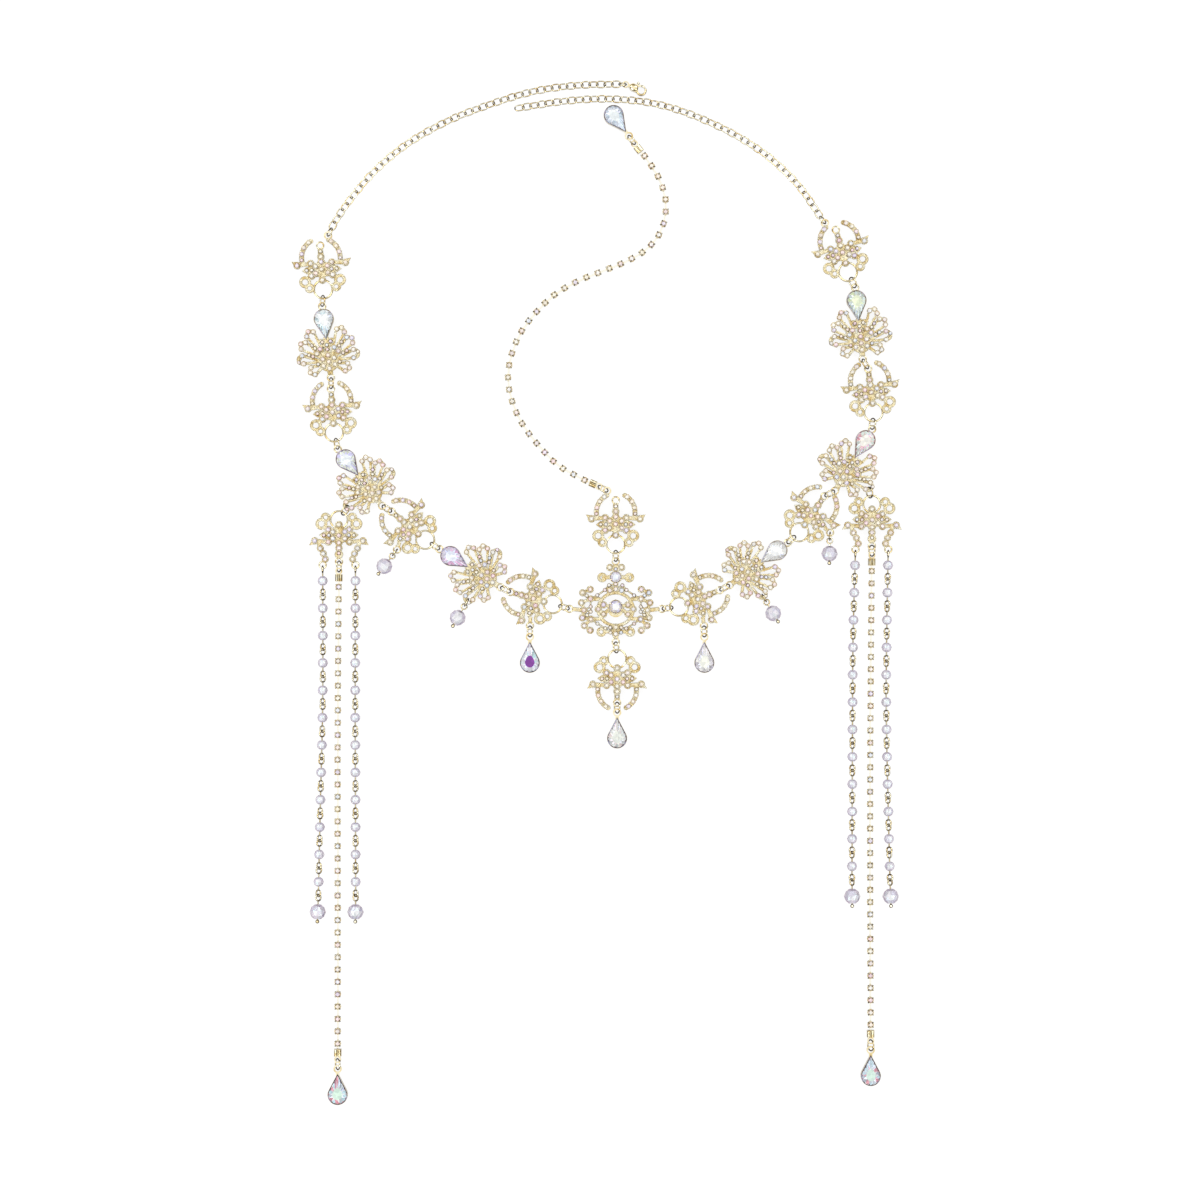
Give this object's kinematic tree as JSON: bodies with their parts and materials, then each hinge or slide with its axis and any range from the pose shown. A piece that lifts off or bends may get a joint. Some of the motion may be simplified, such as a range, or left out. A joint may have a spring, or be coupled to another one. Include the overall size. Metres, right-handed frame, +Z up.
{
  "type": "forehead ornament",
  "caption": "Gold-tone forehead ornament: a curved row of pierced, stone-set plaques on jump rings, with side tassels, a crown chain, pear drops and an open clasp on two chains.",
  "frame": {"origin": "middle of the outline seen from above, on the surface that the ornament lies on", "axes": "+Y towards the crown, chains and clasp, tassels towards -Y; +Z up out of the surface, towards whoever looks at the front; +X to the right in that view"},
  "size_m": [0.2196, 0.3688, 0.006],
  "materials": {
    "gold": "pale yellow gold plating, polished, cast relief with fine grains",
    "cut_crystal": "faceted crystal with an iridescent coating, ice blue to pink",
    "bead_crystal": "faceted beads, milky lavender with a soft iridescent coating"
  },
  "bodies": {
    "ornament": {"left_small_1": "gold", "left_small_2": "gold", "left_small_3": "gold", "left_small_4": "gold", "crown_plaque": "gold", "brow_plaque": "gold", "right_small_4": "gold", "right_small_3": "gold", "right_small_2": "gold", "right_small_1": "gold", "left_large_1": "gold", "left_large_2": "gold", "left_large_3": "gold", "right_large_3": "gold", "right_large_2": "gold", "right_large_1": "gold", "left_tassel_head": "gold", "right_tassel_head": "gold", "eye_plaque": "gold", "left_pear_1": "cut_crystal", "left_pear_2": "cut_crystal", "left_pear_3": "cut_crystal", "right_pear_3": "cut_crystal", "right_pear_2": "cut_crystal", "right_pear_1": "cut_crystal", "eye_centre_stone": "cut_crystal", "eye_top_stone": "cut_crystal", "brow_left_drop_setting": "gold", "brow_middle_drop_setting": "gold", "brow_right_drop_setting": "gold", "left_tassel_drop_setting": "gold", "right_tassel_drop_setting": "gold", "crown_chain_drop_setting": "gold", "brow_left_drop_stone": "cut_crystal", "brow_middle_drop_stone": "cut_crystal", "brow_right_drop_stone": "cut_crystal", "left_tassel_drop_stone": "cut_crystal", "right_tassel_drop_stone": "cut_crystal", "crown_chain_drop_stone": "cut_crystal", "left_outer_beads": "bead_crystal", "left_inner_beads": "bead_crystal", "right_inner_beads": "bead_crystal", "right_outer_beads": "bead_crystal", "left_outer_pins": "gold", "left_inner_pins": "gold", "right_inner_pins": "gold", "right_outer_pins": "gold", "crown_cup_chain": "gold", "left_cup_chain": "gold", "right_cup_chain": "gold", "cup_chain_ends": "gold", "bead_drop_beads": "bead_crystal", "bead_drop_pins": "gold", "jump_rings": "gold", "left_extension_chain": "gold", "right_extension_chain": "gold", "clasp_body": "gold"},
    "lever": {"clasp_lever": "gold"}
  },
  "joints": [
    {"name": "clasp_lever", "type": "hinge", "parent": "ornament", "child": "lever", "pos_m": [0.01393, 0.18212, 0.0011], "axis": [0, 0, 1], "range_deg": [-20, 0], "stiffness_Nm_per_rad": 0.002, "springref_deg": 5.73}
  ]
}
